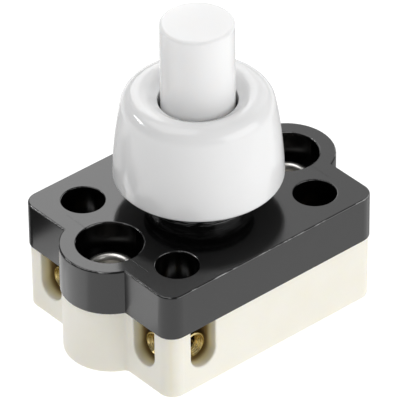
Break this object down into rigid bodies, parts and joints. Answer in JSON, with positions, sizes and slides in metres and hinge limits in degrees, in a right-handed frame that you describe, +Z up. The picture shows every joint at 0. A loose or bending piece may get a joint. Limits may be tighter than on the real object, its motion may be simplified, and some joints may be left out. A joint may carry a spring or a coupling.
{
  "type": "push on push off lamp switch",
  "caption": "Panel-mounted latching push switch: cream base with wire slots, black cover with threaded neck, white ring nut and round push button.",
  "frame": {"origin": "on the threaded neck's axis, at the underside of the base", "axes": "+X through the right-hand lobe, +Y across the body to the back, +Z up the neck towards the button"},
  "size_m": [0.0303, 0.0208, 0.0303],
  "materials": {
    "cream_moulding": "satin",
    "black_moulding": "gloss",
    "white_moulding": "satin",
    "white_button": "satin",
    "natural_nylon": "satin",
    "contact_brass": "bright",
    "terminal_brass": "turned",
    "screw_steel": "zinc plated",
    "rivet_steel": "nickel plated",
    "spring_steel": "drawn wire"
  },
  "bodies": {
    "housing": {"base_housing": "cream_moulding", "cover_plate": "black_moulding", "contact_blade_left_front": "contact_brass", "contact_blade_left_back": "contact_brass", "contact_blade_right_front": "contact_brass", "contact_blade_right_back": "contact_brass", "terminal_left_front": "terminal_brass", "terminal_left_back": "terminal_brass", "terminal_right_front": "terminal_brass", "terminal_right_back": "terminal_brass", "terminal_screw_left_front": "screw_steel", "terminal_screw_left_back": "screw_steel", "terminal_screw_right_front": "screw_steel", "terminal_screw_right_back": "screw_steel", "rivet_left": "rivet_steel", "rivet_right": "rivet_steel", "return_spring": "spring_steel"},
    "push_button": {"push_button": "white_button"},
    "rotor": {"ratchet_rotor": "natural_nylon", "bridge_plate_front": "contact_brass", "bridge_plate_back": "contact_brass"},
    "ring_nut": {"ring_nut": "white_moulding"}
  },
  "joints": [
    {"name": "button_slide", "type": "slide", "parent": "housing", "child": "push_button", "axis": [0, 0, 1], "range_m": [-0.0026, 0], "stiffness_N_per_m": 770, "deforming": ["return_spring"]},
    {"name": "rotor_turn", "type": "hinge", "parent": "housing", "child": "rotor", "pos_m": [0, 0, 0], "axis": [0, 0, 1], "range_deg": [0, 45]},
    {"name": "nut_thread", "type": "slide", "parent": "housing", "child": "ring_nut", "axis": [0, 0, 1], "range_m": [-0.0015, 0.004]}
  ],
  "couplings": [
    {"joint": "rotor_turn", "follows": "button_slide", "rad_per_m": -302}
  ]
}
